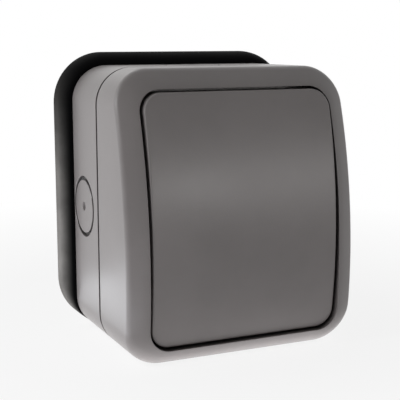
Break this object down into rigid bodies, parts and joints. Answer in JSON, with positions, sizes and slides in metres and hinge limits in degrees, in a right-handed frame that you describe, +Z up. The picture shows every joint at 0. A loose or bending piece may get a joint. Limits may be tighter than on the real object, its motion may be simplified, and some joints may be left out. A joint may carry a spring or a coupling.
{
  "type": "surface mounted light switch",
  "caption": "Grey surface mounted light switch with a large curved rocker, a moulded box, a black wall seal and a change-over mechanism.",
  "frame": {"origin": "middle of the flat back face that lies on the wall", "axes": "+Y into the wall, the front faces -Y, +Z up, +X to the right seen from the front"},
  "size_m": [0.0886, 0.0628, 0.0964],
  "materials": {
    "grey_plastic": "fine satin, warm mid grey",
    "black_rubber": "matt black rubber",
    "white_moulding": "matt off-white moulding",
    "lever_plastic": "satin red-brown",
    "zinc_steel": "bright zinc plate",
    "brass": "bright brass",
    "contact_silver": "silver alloy"
  },
  "bodies": {
    "housing": {"wall_seal": "black_rubber", "back_box": "grey_plastic", "cover_seal": "black_rubber", "front_cover": "grey_plastic", "pivot_pin_left": "zinc_steel", "pivot_pin_right": "zinc_steel", "rocker_boot": "black_rubber", "mechanism_base": "white_moulding", "mechanism_lid": "white_moulding", "dolly_pin": "zinc_steel", "common_terminal": "brass", "fixed_contact_upper": "brass", "fixed_contact_lower": "brass", "fixed_tip_upper": "contact_silver", "fixed_tip_lower": "contact_silver", "terminal_screw_common": "brass", "terminal_screw_upper": "brass", "terminal_screw_lower": "brass", "earth_terminal": "brass", "earth_screw": "brass", "mechanism_screw_upper": "zinc_steel", "mechanism_screw_lower": "zinc_steel", "cover_screw_upper_left": "zinc_steel", "cover_screw_upper_right": "zinc_steel", "cover_screw_lower_left": "zinc_steel", "cover_screw_lower_right": "zinc_steel", "thread_insert_upper_left": "brass", "thread_insert_upper_right": "brass", "thread_insert_lower_left": "brass", "thread_insert_lower_right": "brass"},
    "rocker_button": {"rocker": "grey_plastic"},
    "dolly_lever": {"dolly": "lever_plastic", "plunger_spring": "zinc_steel"},
    "plunger_pin": {"plunger": "lever_plastic"},
    "seesaw": {"moving_contact": "brass", "moving_tip_upper": "contact_silver", "moving_tip_lower": "contact_silver"}
  },
  "joints": [
    {"name": "rocker_tilt", "type": "hinge", "parent": "housing", "child": "rocker_button", "pos_m": [0, -0.054, -0.0004], "axis": [-1, 0, 0], "range_deg": [0, 4.8], "deforming": ["rocker_boot"]},
    {"name": "dolly_tilt", "type": "hinge", "parent": "housing", "child": "dolly_lever", "pos_m": [0, -0.036, -0.0004], "axis": [1, 0, 0], "range_deg": [0, 16.8]},
    {"name": "contact_tilt", "type": "hinge", "parent": "housing", "child": "seesaw", "pos_m": [0, -0.02505, -0.0004], "axis": [-1, 0, 0], "range_deg": [0, 9.6]},
    {"name": "plunger_slide", "type": "slide", "parent": "dolly_lever", "child": "plunger_pin", "axis": [0, -0.9893, 0.1461], "range_m": [0, 0.0008], "stiffness_N_per_m": 400, "deforming": ["plunger_spring"]}
  ],
  "couplings": [
    {"joint": "dolly_tilt", "follows": "rocker_tilt", "ratio": 3.5},
    {"joint": "contact_tilt", "follows": "rocker_tilt", "ratio": 2}
  ]
}
